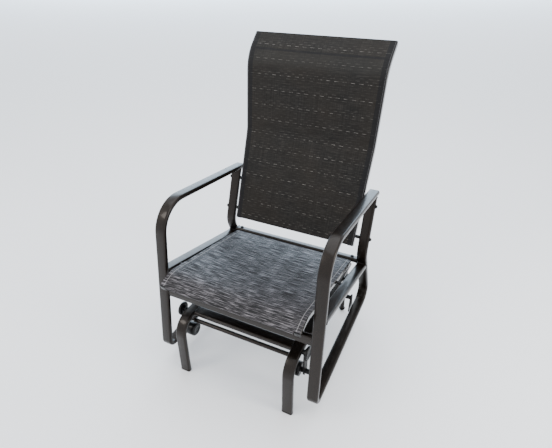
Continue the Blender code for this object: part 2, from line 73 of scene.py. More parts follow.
PIVOT_Y = {"front": 0.055, "rear": 0.483}
PIVOT_Z, LINK_LENGTH = 0.236, 0.086
LINK_X, LINK_THICKNESS = 0.2440, 0.005
PIN_RADIUS, SPACER_RADIUS, CAP_RADIUS, CAP_THICKNESS = 0.006, 0.0090, 0.0260, 0.010
ROLLER_FROM, ROLLER_TO, ROLLER_GROOVE = 0.197, 0.230, (0.2120, 0.2150)
LUG_THICKNESS = 0.004
BACK_BOLT_Z = {"lower": 0.436, "upper": 0.560}
SEAT_BOLT_Y = {"front": 0.100, "rear": 0.300}
GAP = 0.0003                # joined parts stand this far apart
FRAME_BEAD, BAR_BEAD, BASE_BEAD = 0.0016, 0.0015, 0.0014     # weld radii

# ------------------------------------------------------------------ camera and lights
CAMERA_PLACE = (0.5902, -0.8884 + SHIFT_Y, 1.3488)
CAMERA_AZIMUTH, CAMERA_PITCH = 25.793, 31.482
CAMERA_LENS = 28.24
LIGHTS = (    # name, place, target, size, watts, colour
    ("window", (-7.6, 16.0, 6.1), (0, 0.0, 1.3), (24.0, 12.0), 4000, (0.60, 0.80, 1.0)),
    ("sky", (-0.3, 0.3, 3.6), (0, 0.05, 0.4), (3.0, 3.0), 66, (0.90, 0.95, 1.0)),
    ("key", (-1.8, -2.2, 2.7), (0, 0, 0.5), (1.0, 1.0), 30, (1.0, 0.95, 0.89)),
    ("side", (2.7, -0.3, 1.6), (0, 0, 0.5), (0.7, 1.8), 46, (1.0, 0.97, 0.92)),
)
WORLD_COLOUR, WORLD_STRENGTH = (0.95, 0.97, 1.0, 1), 1.6
FLOOR_SIZE, FLOOR_PLACE, FLOOR_COLOUR = 80.0, (0, 20.0, 0), (0.90, 0.90, 0.91)


def link(item):
    bpy.context.scene.collection.objects.link(item)
    return item


# ------------------------------------------------------------------ node helpers
class Nodes:
    """Short forms for building a material's nodes."""

    def __init__(self, name):
        self.material = bpy.data.materials.new(name)
        self.material.use_nodes = True
        self.tree = self.material.node_tree
        self.shader = self.tree.nodes["Principled BSDF"]

    def make(self, kind, **settings):
        node = self.tree.nodes.new(kind)
        for key, value in settings.items():
            setattr(node, key, value)
        return node

    def wire(self, source, target):
        self.tree.links.new(source, target)

    def put(self, socket, value):
        if isinstance(value, bpy.types.NodeSocket):
            self.wire(value, socket)
        else:
            socket.default_value = value

    def math(self, operation, first, second=0.0, third=0.0, clamp=False):
        node = self.make("ShaderNodeMath", operation=operation, use_clamp=clamp)
        for socket, value in zip(node.inputs, (first, second, third)):
            self.put(socket, value)
        return node.outputs[0]

    def coordinates(self, kind="Object"):
        return self.make("ShaderNodeTexCoord").outputs[kind]

    def noise(self, vector, scale, detail=2.0, roughness=0.5):
        node = self.make("ShaderNodeTexNoise")
        self.wire(vector, node.inputs["Vector"])
        node.inputs["Scale"].default_value = scale
        node.inputs["Detail"].default_value = detail
        node.inputs["Roughness"].default_value = roughness
        return node.outputs["Fac"]

    def ramp(self, factor, stops, interpolation="LINEAR"):
        node = self.make("ShaderNodeValToRGB")
        ramp = node.color_ramp
        ramp.interpolation = interpolation
        while len(ramp.elements) < len(stops):
            ramp.elements.new(0.5)
        for element, (place, colour) in zip(ramp.elements, stops):
            element.position = place
            if not hasattr(colour, "__len__"):
                colour = (colour,) * 3
            element.color = (*colour, 1.0)
        self.wire(factor, node.inputs["Fac"])
        return node.outputs["Color"]

    def mix(self, factor, first, second, blend="MIX"):
        node = self.make("ShaderNodeMix", data_type="RGBA", blend_type=blend)
        self.put(node.inputs["Factor"], factor)
        for socket, value in ((node.inputs[6], first), (node.inputs[7], second)):
            if not isinstance(value, bpy.types.NodeSocket):
                value = (*value, 1.0)
            self.put(socket, value)
        return node.outputs[2]

    def bump(self, height, distance, strength=1.0, normal=None):
        node = self.make("ShaderNodeBump")
        node.inputs["Strength"].default_value = strength
        node.inputs["Distance"].default_value = distance
        self.wire(height, node.inputs["Height"])
        if normal is not None:
            self.wire(normal, node.inputs["Normal"])
        return node.outputs[0]

    def surface(self, colour=None, roughness=None, normal=None, **constants):
        for name, value in (("Base Color", colour), ("Roughness", roughness), ("Normal", normal)):
            if isinstance(value, bpy.types.NodeSocket):
                self.wire(value, self.shader.inputs[name])
            elif value is not None:
                self.shader.inputs[name].default_value = value
        for name, value in constants.items():
            self.shader.inputs[name.replace("_", " ")].default_value = value
        return self.material


def painted_tube(name, dark, light, rough_low, rough_high, coat=0.22):
    """Glossy metallic powder coat: fine hammered speckle, broad cloudiness, and dulled patches."""
    n = Nodes(name)
    place = n.coordinates()
    flake = n.noise(place, 1100.0, 2.0, 0.6)
    orange_peel = n.noise(place, 420.0, 2.0, 0.55)
    cloud = n.noise(place, 14.0, 4.0, 0.6)
    colour = n.mix(n.ramp(flake, [(0.38, 0.0), (0.66, 1.0)]), dark, light)
    tone = n.ramp(cloud, [(0.30, 0.80), (0.70, 1.0)])
    colour = n.mix(1.0, colour, tone, "MULTIPLY")
    roughness = n.ramp(n.noise(place, 60.0, 5.0, 0.65), [(0.30, rough_low), (0.72, rough_high)])
    normal = n.bump(orange_peel, 0.00025, 0.32)
    normal = n.bump(flake, 0.00008, 0.35, normal)
    return n.surface(colour, roughness, normal, Metallic=0.6, Specular_IOR_Level=0.3, Coat_Weight=coat,
                     Coat_Roughness=0.10)


def moulded_black(name, colour, rough_low, rough_high):
    """Near-black plastic or coated steel: fine grain, and smears that shift its tone and gloss."""
    n = Nodes(name)
    place = n.coordinates()
    grain = n.noise(place, 900.0, 2.0, 0.6)
    smear = n.noise(place, 35.0, 4.0, 0.6)
    shade = n.mix(n.ramp(smear, [(0.35, 0.0), (0.70, 1.0)]), colour, tuple(c * 1.9 for c in colour))
    roughness = n.ramp(smear, [(0.30, rough_low), (0.70, rough_high)])
    return n.surface(shade, roughness, n.bump(grain, 0.00015, 0.5), Metallic=0.0, Specular_IOR_Level=0.26)


def separated(n, vector):
    node = n.make("ShaderNodeSeparateXYZ")
    n.wire(vector, node.inputs[0])
    return node.outputs[0], node.outputs[1]


def combined(n, x, y):
    node = n.make("ShaderNodeCombineXYZ")
    n.put(node.inputs[0], x)
    n.put(node.inputs[1], y)
    return node.outputs[0]


def cloth_noise(n, u, v, across, along, detail, roughness):
    """Noise with its own number of cells per metre across and along a cloth."""
    place = combined(n, n.math("MULTIPLY", u, across), n.math("MULTIPLY", v, along))
    return n.noise(place, 1.0, detail, roughness)


def weave_with_gap_shade(n, u, v, colour, dark, depth):
    """Plain weave with painted shade in the gaps between threads; gives the colour and the weave's height."""
    turns = math.pi / WEAVE_PITCH
    warp = n.math("ABSOLUTE", n.math("SINE", n.math("MULTIPLY", u, turns)))
    weft = n.math("ABSOLUTE", n.math("SINE", n.math("MULTIPLY", v, turns)))
    height = n.math("MULTIPLY", warp, weft)
    shade = n.math("MULTIPLY", n.math("SUBTRACT", 1.0, height, clamp=True), depth)
    return n.mix(shade, colour, dark), height


def band(n, value, centre, reach, soft):
    """1 inside a band round a value, falling to 0 over the soft distance."""
    off = n.math("ABSOLUTE", n.math("SUBTRACT", value, centre))
    return n.math("DIVIDE", n.math("SUBTRACT", reach + soft, off), soft, clamp=True)


def stitch_line(n, edge, along, inset, strength):
    """A row of short stitches at a distance from the cloth's edge."""
    row = band(n, edge, inset, 0.0004, 0.0003)
    stitch = n.math("LESS_THAN", n.math("FRACT", n.math("DIVIDE", along, 0.0048)), 0.66)
    return n.math("MULTIPLY", n.math("MULTIPLY", row, stitch), strength)


def seat_cloth(half, length):
    """Blue-grey mesh with short pale and dark streaks across the seat; UVs are in metres."""
    n = Nodes("seat_cloth_streaked")
    u, v = separated(n, n.coordinates("UV"))
    streaks = cloth_noise(n, u, v, 17.0, 430.0, 2.0, 0.5)
    fine = cloth_noise(n, u, v, 34.0, 800.0, 2.0, 0.6)
    patches = cloth_noise(n, u, v, 6.0, 12.0, 2.0, 0.5)
    level = n.math("ADD", n.math("MULTIPLY", streaks, 0.60), n.math("MULTIPLY", fine, 0.34))
    level = n.math("ADD", level, n.math("MULTIPLY", patches, 0.09))
    cool = n.ramp(level, [(0.43, (0.0030, 0.0030, 0.0036)), (0.505, (0.0125, 0.0130, 0.0155)),
                          (0.56, (0.062, 0.065, 0.076)), (0.64, (0.25, 0.26, 0.29))])
    warm = n.ramp(level, [(0.43, (0.0030, 0.0028, 0.0028)), (0.505, (0.0130, 0.0115, 0.0122)),
                          (0.56, (0.060, 0.054, 0.058)), (0.64, (0.24, 0.22, 0.235))])
    nose = n.ramp(n.math("DIVIDE", v, 0.22), [(0.20, 1.0), (0.85, 0.0)])
    colour = n.mix(nose, cool, warm)
    # painted shade darkens the gaps between the seat cloth's threads
    colour, height = weave_with_gap_shade(n, u, v, colour, (0.006, 0.006, 0.0075), 0.40)
    edge = n.math("SUBTRACT", half, n.math("ABSOLUTE", u))
    seams = n.math("MULTIPLY", band(n, edge, 0.0135, 0.0006, 0.0004), 0.75)
    front = stitch_line(n, v, u, 0.010, 0.20)
    rear = stitch_line(n, n.math("SUBTRACT", length, v), u, 0.012, 0.22)
    marks = n.math("ADD", seams, n.math("ADD", front, rear), clamp=True)
    colour = n.mix(marks, colour, (0.26, 0.25, 0.25))
    normal = n.bump(height, 0.0004, 0.45)
    normal = n.bump(streaks, 0.0008, 0.5, normal)
    roughness = n.ramp(level, [(0.46, 0.78), (0.62, 0.36)])
    return n.surface(colour, roughness, normal, Metallic=0.0, Specular_IOR_Level=0.28)


def back_cloth(half, taper, length):
    """Brown-black mesh with rows of dim dashes; painted shade: dark bands where the rails and the top bar stop
    the light through the mesh, and a painted band of light through the mesh below the bar.
    """
    n = Nodes("back_cloth_dashed")
    u, v = separated(n, n.coordinates("UV"))
    rows, row_pitch, dash_pitch = 6.0, 0.057, 0.031
    group = n.math("DIVIDE", n.math("SUBTRACT", v, length - 0.053 - 0.0048), row_pitch)
    within = n.math("FRACT", group)
    row = n.math("FLOOR", n.math("MULTIPLY", within, rows))
    across = n.math("FRACT", n.math("MULTIPLY", within, rows))
    line = n.math("LESS_THAN", n.math("ABSOLUTE", n.math("SUBTRACT", across, 0.5)), 0.062)
    shift = n.math("MULTIPLY", n.math("MODULO", row, 2.0), 0.5)
    drift = n.math("MULTIPLY", n.math("FLOOR", group), 0.37)
    along = n.math("FRACT", n.math("ADD", n.math("DIVIDE", u, dash_pitch), n.math("ADD", shift, drift)))
    dash = n.math("LESS_THAN", along, 0.50)
    worn = cloth_noise(n, u, v, 55.0, 60.0, 3.0, 0.65)
    bright = n.ramp(within, [(0.0, 0.85), (1 / 6, 0.30), (2 / 6, 0.16), (3 / 6, 0.06), (4 / 6, 0.09),
                             (5 / 6, 0.20)], "CONSTANT")
    mask = n.math("MULTIPLY", n.math("MULTIPLY", line, dash), bright)
    mask = n.math("MULTIPLY", mask, n.ramp(worn, [(0.40, 0.05), (0.64, 1.0)]))
    threads = cloth_noise(n, u, v, 14.0, 620.0, 3.0, 0.62)
    uprights = cloth_noise(n, u, v, 420.0, 5.0, 2.0, 0.6)
    weave = n.math("ADD", n.math("MULTIPLY", threads, 0.72), n.math("MULTIPLY", uprights, 0.28))
    tint = cloth_noise(n, u, v, 5.0, 6.0, 2.0, 0.5)
    ground = n.ramp(weave, [(0.38, (0.0036, 0.0033, 0.0030)), (0.53, (0.0150, 0.0136, 0.0122)),
                            (0.66, (0.052, 0.047, 0.042))])
    ground = n.mix(n.ramp(tint, [(0.36, 0.0), (0.66, 0.6)]), ground, (0.0225, 0.0175, 0.0130))
    # painted shade darkens the gaps between the back cloth's threads
    ground, height = weave_with_gap_shade(n, u, v, ground, (0.0028, 0.0028, 0.0028), 0.5)
    colour = n.mix(mask, ground, (0.23, 0.215, 0.20))
    down = n.math("SUBTRACT", length, v)
    # painted light: a lighter band below the top bar, where light comes through the mesh
    painted_backlight = n.math("MULTIPLY", band(n, down, 0.106, 0.012, 0.026), 0.42)
    colour = n.mix(painted_backlight, colour, (0.023, 0.0225, 0.021))
    # painted shade: darker bands where the rails and the top bar keep light from coming through the mesh
    edge = n.math("SUBTRACT", n.math("MULTIPLY_ADD", v, taper, half), n.math("ABSOLUTE", u))
    rails = n.math("MULTIPLY", band(n, edge, 0.0, 0.0215, 0.0012), 0.72)
    bar_shade = n.math("MULTIPLY", band(n, down, 0.073, 0.0030, 0.0020), 0.7)
    colour = n.mix(n.math("MAXIMUM", rails, bar_shade), colour, (0.0040, 0.0042, 0.0055))
    colour = n.mix(stitch_line(n, edge, v, 0.0035, 0.55), colour, (0.20, 0.20, 0.21))
    normal = n.bump(height, 0.0004, 0.5)
    normal = n.bump(mask, 0.0004, 0.4, normal)
    return n.surface(colour, 0.62, normal, Metallic=0.0, Specular_IOR_Level=0.16)


FRAME_PAINT = painted_tube("frame_powder_coat", (0.0022, 0.0016, 0.0012), (0.021, 0.0135, 0.0088), 0.27, 0.42)
# a lighter copy of the frame's dark paint: painted reflection on the sling and back rails
RAIL_PAINT_LIGHTENED = painted_tube("sling_rail_paint_lightened_for_reflection", (0.006, 0.0052, 0.0048), (0.050, 0.044, 0.038), 0.20, 0.32,
                          coat=0.6)
PLASTIC = moulded_black("black_moulded_plastic", (0.0018, 0.0018, 0.0021), 0.22, 0.40)
STEEL = moulded_black("black_coated_steel", (0.0032, 0.0032, 0.0035), 0.24, 0.40)
HEM = moulded_black("folded_hem", (0.010, 0.0095, 0.0105), 0.6, 0.8)


# ------------------------------------------------------------------ geometry helpers
def add(name, mesh, material, body, replaced=()):
    """Puts a finished mesh with its material on its CAD body, in place of the named CAD nodes."""
    mesh.materials.clear()
    mesh.materials.append(material)
    item = link(bpy.data.objects.new(name, mesh))
    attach(item, body)
    if replaced:
        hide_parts(*replaced)
    return item


def smooth(mesh, degrees=32):
    """Smooth shading with edges kept sharp past an angle."""
    mesh.shade_smooth()
    mesh.set_sharp_from_angle(angle=math.radians(degrees))
    return mesh


def rounded_rectangle(width, height, radius, steps=5):
    points = []
    for sign_x, sign_y, start in ((1, 1, 0), (-1, 1, 90), (-1, -1, 180), (1, -1, 270)):
        for step in range(steps + 1):
            angle = math.radians(start + 90 * step / steps)
            points.append((sign_x * (width / 2 - radius) + radius * math.cos(angle),
                           sign_y * (height / 2 - radius) + radius * math.sin(angle)))
    return points


def bent_path(corners, bends, turn_step=4.0, straight_step=0.05):
    """Smooth polyline through rounded corners, with stations along its straight runs as well."""
    path = [Vector(corners[0])]

    def run_to(target):
        start = path[-1]
        count = max(1, round((target - start).length / straight_step))
        for step in range(1, count + 1):
            path.append(start.lerp(target, step / count))

    for before, corner, after, radius in zip(corners, corners[1:], corners[2:], bends):
        corner = Vector(corner)
        arriving = (corner - Vector(before)).normalized()
        leaving = (Vector(after) - corner).normalized()
        turn = math.atan2(arriving.cross(leaving), arriving.dot(leaving))
        start = corner - arriving * radius * math.tan(abs(turn) / 2)
        centre = start + Vector((-arriving.y, arriving.x)) * math.copysign(radius, turn)
        run_to(start)
        count = max(2, math.ceil(abs(turn) / math.radians(turn_step)))
        for step in range(1, count + 1):
            path.append(centre + Matrix.Rotation(turn * step / count, 2) @ (start - centre))
    run_to(Vector(corners[-1]))
    return path


def tangent(path, index):
    return (path[min(index + 1, len(path) - 1)] - path[max(index - 1, 0)]).normalized()


def left_of(along):
    return Vector((-along.y, along.x))


def offset_path(path, distance):
    return [point + left_of(tangent(path, i)) * distance for i, point in enumerate(path)]


def direction(first, second):
    return (Vector(second) - Vector(first)).normalized()


def line_at(first, second, y):
    """Second coordinate of the line through two points, at a value of the first."""
    return first[1] + (second[1] - first[1]) * (y - first[0]) / (second[0] - first[0])


def swept(name, path, section, centre_x, ends=(None, None)):
    """Tube along a (Y, Z) path; centre_x takes a height; an end may be a (point, normal) mitre plane."""
    work = bmesh.new()
    rings = []
    for index, point in enumerate(path):
        along = tangent(path, index)
        across = left_of(along)
        ring = []
        mitre = ends[0] if index == 0 else ends[1] if index == len(path) - 1 else None
        for x, depth in section:
            place = point + across * depth
            if mitre:
                plane, normal = Vector(mitre[0]), Vector(mitre[1])
                place = place + along * ((plane - place).dot(normal) / along.dot(normal))
            ring.append(work.verts.new((centre_x(place.y) + x, place.x + SHIFT_Y, place.y)))
        rings.append(ring)
    bridge(work, rings)
    return to_mesh(name, work)


def bridge(work, rings, caps=True):
    count = len(rings[0])
    for low, high in zip(rings, rings[1:]):
        for index in range(count):
            following = (index + 1) % count
            work.faces.new((low[index], low[following], high[following], high[index]))
    if caps:
        work.faces.new(rings[0][::-1])
        work.faces.new(rings[-1])


def to_mesh(name, work, weld=True):
    if weld:
        bmesh.ops.remove_doubles(work, verts=work.verts, dist=1e-6)
    bmesh.ops.recalc_face_normals(work, faces=work.faces)
    mesh = bpy.data.meshes.new(name)
    work.to_mesh(mesh)
    work.free()
    return smooth(mesh)


def lathe(name, profile, place, side=1, axis="X", steps=40):
    """Solid of revolution from (distance, radius) pairs; on X the distances are on the piece's own side."""
    work = bmesh.new()
    rings = []
    for along, radius in profile:
        ring = []
        for index in range(steps):
            angle = 2 * math.pi * index / steps
            a, b = max(radius, 1e-7) * math.cos(angle), max(radius, 1e-7) * math.sin(angle)
            point = (side * along, a, b) if axis == "X" else (a, b, along)
            ring.append(work.verts.new(Vector(point) + Vector(place)))
        rings.append(ring)
    bridge(work, rings)
    return to_mesh(name, work)


def bar_section(width, height, tilt):
    turn = Matrix.Rotation(tilt, 2)
    return [turn @ Vector(point) for point in rounded_rectangle(width, height, TUBE_CORNER)]


def bar_ring(x, centre, section):
    return [(x, centre[0] + SHIFT_Y + p.x, centre[1] + p.y) for p in section]


def bar_mesh(name, half, centre, width, height, tilt=0.0, stations=12):
    """Bar along X with a rounded flat-oval section."""
    work = bmesh.new()
    section = bar_section(width, height, tilt)
    rings = []
    for step in range(stations + 1):
        x = -half + 2 * half * step / stations
        rings.append([work.verts.new(place) for place in bar_ring(x, centre, section)])
    bridge(work, rings)
    return to_mesh(name, work)


def bar_weld(half, centre, width, height, tilt=0.0):
    """Weld outlines round both ends of a bar along X."""
    section = bar_section(width + 2 * GAP, height + 2 * GAP, tilt)
    return [bar_ring(side * half, centre, section) for side in (1, -1)]


def circle(centre, radius, axis, steps):
    """Points round a circle that faces along X or Z."""
    points = []
    for step in range(steps):
        angle = 2 * math.pi * step / steps
        a, b = radius * math.cos(angle), radius * math.sin(angle)
        offset = (0, a, b) if axis == "X" else (a, b, 0)
        points.append(tuple(c + o for c, o in zip(centre, offset)))
    return points


def bead(points, radius, sides=8, ripple=0.16, step_length=0.0012):
    """Weld bead: a thin rippled cord round a closed loop of 3D points."""
    chain = []
    for first, second in zip(points, points[1:] + points[:1]):
        first, second = Vector(first), Vector(second)
        steps = max(1, round((second - first).length / step_length))
        chain += [first.lerp(second, step / steps) for step in range(steps)]
    work = bmesh.new()
    rings = []
    for index, point in enumerate(chain):
        along = (chain[(index + 1) % len(chain)] - chain[index - 1]).normalized()
        side = (side - along * side.dot(along)).normalized() if rings else along.orthogonal().normalized()
        up = along.cross(side)
        size = radius * (1 - ripple * (index % 3) / 2)
        ring = []
        for step in range(sides):
            angle = 2 * math.pi * step / sides
            place = point + side * size * math.cos(angle) + up * size * math.sin(angle)
            ring.append(work.verts.new(place))
        rings.append(ring)
    bridge(work, rings + rings[:1], caps=False)
    return work


def join_works(name, works):
    """One mesh from several bmeshes, which are used up."""
    whole = bmesh.new()
    for work in works:
        scratch = bpy.data.meshes.new("scratch")
        work.to_mesh(scratch)
        work.free()
        whole.from_mesh(scratch)
        bpy.data.meshes.remove(scratch)
    return to_mesh(name, whole, weld=False)


def frame_x(z, edge=0):
    """X of the leaning side frame's middle at a height, or of its inner (-1) or outer (1) face."""
    return FRAME_X + FRAME_LEAN * z + edge * TUBE_WIDTH / 2


def back_x(z):
    return BACK_X + BACK_TAPER * z


def domed_plug(end, outward, width, depth, corner, centre_x, side):
    """Plastic cap on an open tube end: a short skirt and a soft dome."""
    outward = Vector(outward).normalized()
    across = left_of(outward)
    # (distance out of the tube, share of the tube's section)
    levels = [(GAP, 0.94), (GAP, 1.0), (0.0012, 1.012), (0.0026, 0.985), (0.0036, 0.90), (0.0044, 0.62)]
    work = bmesh.new()
    rings = []
    for along, size in levels:
        ring = []
        for x, deep in rounded_rectangle(width, depth, corner):
            place = Vector(end) + outward * along + across * deep * size
            ring.append(work.verts.new((side * centre_x(place.y) + x * size, place.x + SHIFT_Y, place.y)))
        rings.append(ring)
    bridge(work, rings)
    return to_mesh("plug", work)


# ------------------------------------------------------------------ gliding frame
SECTION = rounded_rectangle(TUBE_WIDTH, TUBE_DEPTH, TUBE_CORNER)
ARM = direction(ARM_CORNER, ARM_REAR)
LEG = direction(FOOT_CORNER, ARM_CORNER)
HEEL = direction(HEEL_CORNER, NECK_CORNER)
UPRIGHT = direction(NECK_CORNER, UPRIGHT_TOP)
SEAT_RAIL = direction(SEAT_RAIL_FRONT, SEAT_RAIL_REAR)
SEAT_RAIL_TILT = math.atan2(SEAT_RAIL_REAR[1] - SEAT_RAIL_FRONT[1], SEAT_RAIL_REAR[0] - SEAT_RAIL_FRONT[0])
UNDER_ARM = Vector(ARM_REAR) - left_of(ARM) * (TUBE_DEPTH / 2 + GAP)
LEG_FACE = Vector(FOOT_CORNER) - left_of(LEG) * (TUBE_DEPTH / 2 + GAP)
HEEL_FACE = Vector(HEEL_CORNER) + left_of(HEEL) * (TUBE_DEPTH / 2 + GAP)


def collar(point, along, side, grow=0.0004):
    """Outline of a side frame's tube at a layout point, as 3D points."""
    across = left_of(along)
    loop = []
    for x, deep in rounded_rectangle(TUBE_WIDTH + 2 * grow, TUBE_DEPTH + 2 * grow, TUBE_CORNER):
        place = Vector(point) + across * deep
        loop.append((side * frame_x(place.y) + x, place.x + SHIFT_Y, place.y))
    return loop


def on_plane(loop, plane, normal, along):
    """Slides a loop along a direction until it lies on a plane; all in the layout."""
    moved = []
    for x, y, z in loop:
        place = Vector((y - SHIFT_Y, z))
        place += along * ((plane - place).dot(normal) / along.dot(normal))
        moved.append((x, place.x + SHIFT_Y, place.y))
    return moved


def make_side_frames():
    corners = [ARM_REAR, ARM_CORNER, FOOT_CORNER, HEEL_CORNER, NECK_CORNER, UPRIGHT_TOP]
    path = bent_path(corners, FRAME_BENDS)
    rail_path = [Vector(SEAT_RAIL_FRONT).lerp(Vector(SEAT_RAIL_REAR), step / 12) for step in range(13)]
    rail_ends = ((LEG_FACE, left_of(LEG)), (HEEL_FACE, left_of(HEEL)))
    for word, side in SIDES.items():
        mesh = swept("side", path, SECTION, lambda z: side * frame_x(z), (None, (UNDER_ARM, left_of(ARM))))
        add(f"side_frame_tube_{word}", mesh, FRAME_PAINT, "seat", [f"side_frame_{word}"])
        mesh = domed_plug(ARM_REAR, ARM, TUBE_WIDTH, TUBE_DEPTH, TUBE_CORNER, frame_x, side)
        add(f"arm_end_cap_{word}", mesh, PLASTIC, "seat", [f"arm_plug_{word}"])
        mesh = swept("rail", rail_path, SECTION, lambda z: side * frame_x(z), rail_ends)
        add(f"seat_side_rail_{word}", mesh, FRAME_PAINT, "seat", [f"seat_rail_{word}"])
        welds = [
            on_plane(collar(UPRIGHT_TOP, UPRIGHT, side), UNDER_ARM, left_of(ARM), UPRIGHT),
            on_plane(collar(SEAT_RAIL_FRONT, SEAT_RAIL, side), LEG_FACE, left_of(LEG), SEAT_RAIL),
            on_plane(collar(SEAT_RAIL_REAR, SEAT_RAIL, side), HEEL_FACE, left_of(HEEL), SEAT_RAIL),
        ]
        beads = [bead(loop, FRAME_BEAD) for loop in welds]
        add(f"side_frame_welds_{word}", join_works("welds", beads), FRAME_PAINT, "seat")


def make_crossbars():
    front = frame_x(FRONT_BAR[1] + FRONT_BAR_HEIGHT / 2, -1) - GAP
    rear = frame_x(REAR_BAR[1] + TUBE_DEPTH, -1) - GAP
    mesh = bar_mesh("bar", front, FRONT_BAR, TUBE_DEPTH, FRONT_BAR_HEIGHT)
    add("front_cross_tube", mesh, FRAME_PAINT, "seat", ["front_crossbar"])
    mesh = bar_mesh("bar", rear, REAR_BAR, REAR_BAR_WIDTH, TUBE_DEPTH, SEAT_RAIL_TILT)
    add("rear_cross_tube", mesh, FRAME_PAINT, "seat", ["rear_crossbar"])
    loops = bar_weld(front, FRONT_BAR, TUBE_DEPTH, FRONT_BAR_HEIGHT)
    loops += bar_weld(rear, REAR_BAR, REAR_BAR_WIDTH, TUBE_DEPTH, SEAT_RAIL_TILT)
    beads = [bead(loop, BAR_BEAD) for loop in loops]
    add("crossbar_welds", join_works("welds", beads), FRAME_PAINT, "seat")


# ------------------------------------------------------------------ slings
def sling(name, path, half_width, rail, sag, curl=(), columns=44):
    """Stretched cloth lying on its rails, with UVs in metres.

    It hollows slightly between the rails. The curl is more cloth before the path's start, folded over
    between the rails only. The second value given back is the cloth's whole length.
    """
    work = bmesh.new()
    uv = work.loops.layers.uv.new("cloth")
    lengths = [0.0]
    for before, after in zip(path, path[1:]):
        lengths.append(lengths[-1] + (after - before).length)
    where = {}

    def make_row(point, lift, travelled, hollow, inner_only=False):
        width = half_width(point.y)
        inner = width + CLOTH_EDGE - rail - 0.0006
        shares = [-1 + 2 * column / columns for column in range(columns + 1)]
        places = [share * inner for share in shares]
        if not inner_only:
            margin = [inner + (width - inner) * step / 3 for step in (1, 2, 3)]
            places = [-x for x in margin[::-1]] + places + margin
        row = []
        for x in places:
            dip = hollow * max(0.0, 1 - (x / inner) ** 2)
            place = point - lift * dip
            vertex = work.verts.new((x, place.x + SHIFT_Y, place.y))
            where[vertex] = (x, travelled)
            row.append(vertex)
        return row

    grid = []
    for index, point in enumerate(path):
        share = lengths[index] / lengths[-1]
        hollow = sag * (1 - (2 * share - 1) ** 4)
        grid.append(make_row(point, left_of(tangent(path, index)), lengths[index], hollow))
    strips = list(zip(grid, grid[1:]))
    edge, travelled, before = grid[0][3:-3], 0.0, path[0]
    for point in curl:
        travelled -= (point - before).length
        row = make_row(point, Vector((0, 0)), travelled, 0.0, inner_only=True)
        strips.append((row, edge))
        edge, before = row, point
    for low, high in strips:
        for first in range(len(low) - 1):
            face = work.faces.new((low[first], low[first + 1], high[first + 1], high[first]))
            for loop in face.loops:
                loop[uv].uv = where[loop.vert]
    bmesh.ops.recalc_face_normals(work, faces=work.faces)
    mesh = bpy.data.meshes.new(name)
    work.to_mesh(mesh)
    work.free()
    return mesh, lengths[-1] - travelled


def thicken(item):
    """Gives a cloth its thickness, half on each side."""
    solid = item.modifiers.new("thickness", "SOLIDIFY")
    solid.thickness = CLOTH
    solid.offset = 0.0
    bpy.context.view_layer.update()
    graph = bpy.context.evaluated_depsgraph_get()
    mesh = bpy.data.meshes.new_from_object(item.evaluated_get(graph))
    item.modifiers.clear()
    item.data = mesh
    smooth(mesh, 50)


def dense(path, step=0.008):
    """The same path with stations no further apart than about one step."""
    points = [path[0]]
    for before, after in zip(path, path[1:]):
        count = max(1, round((after - before).length / step))
        points += [before.lerp(after, i / count) for i in range(1, count + 1)]
    return points


def across_hem(name, point, half, radius=0.0015):
    """Folded edge of a cloth, as a thin cord along X."""
    profile = [(-half, 0), (-half, radius * 0.7), (-half + 0.001, radius), (half - 0.001, radius),
               (half, radius * 0.7), (half, 0)]
    add(name, lathe("hem", profile, (0, point.x + SHIFT_Y, point.y), steps=12), HEM, "seat")


def make_seat():
    path = bent_path(SEAT_CORNERS, [SEAT_BEND], 3.0, 0.03)
    section = rounded_rectangle(SLING_RAIL, SLING_RAIL, SLING_CORNER, 4)
    for word, side in SIDES.items():
        mesh = swept("rail", path, section, lambda z: side * SLING_RAIL_X)
        add(f"seat_sling_tube_{word}", mesh, RAIL_PAINT_LIGHTENED, "seat", [f"seat_sling_rail_{word}"])
        for label, end, before, replaced in (("nose", path[-1], path[-2], [f"seat_nose_plug_{word}"]),
                                             ("rear", path[0], path[1], [])):
            mesh = domed_plug(end, direction(before, end), SLING_RAIL, SLING_RAIL, SLING_CORNER,
                              lambda z: SLING_RAIL_X, side)
            add(f"seat_{label}_cap_{word}", mesh, PLASTIC, "seat", replaced)
    half = SLING_RAIL_X + SLING_RAIL / 2 - CLOTH_EDGE
    top = dense(offset_path(path, -(SLING_RAIL / 2 + CLOTH / 2 + GAP)))[::-1]
    centre = top[0] - left_of(tangent(top, 0)) * SEAT_FOLD
    fold = [centre + Matrix.Rotation(math.radians(165 * step / 12), 2) @ (top[0] - centre)
            for step in range(1, 13)]
    mesh, length = sling("seat_cloth", top, lambda z: half, SLING_RAIL, SEAT_SAG, fold)
    top_length = sum((after - before).length for before, after in zip(top, top[1:]))
    cloth = add("seat_cloth", mesh, seat_cloth(half, top_length), "seat", ["seat_sling"])
    thicken(cloth)
    across_hem("seat_rear_hem", top[-1], half)


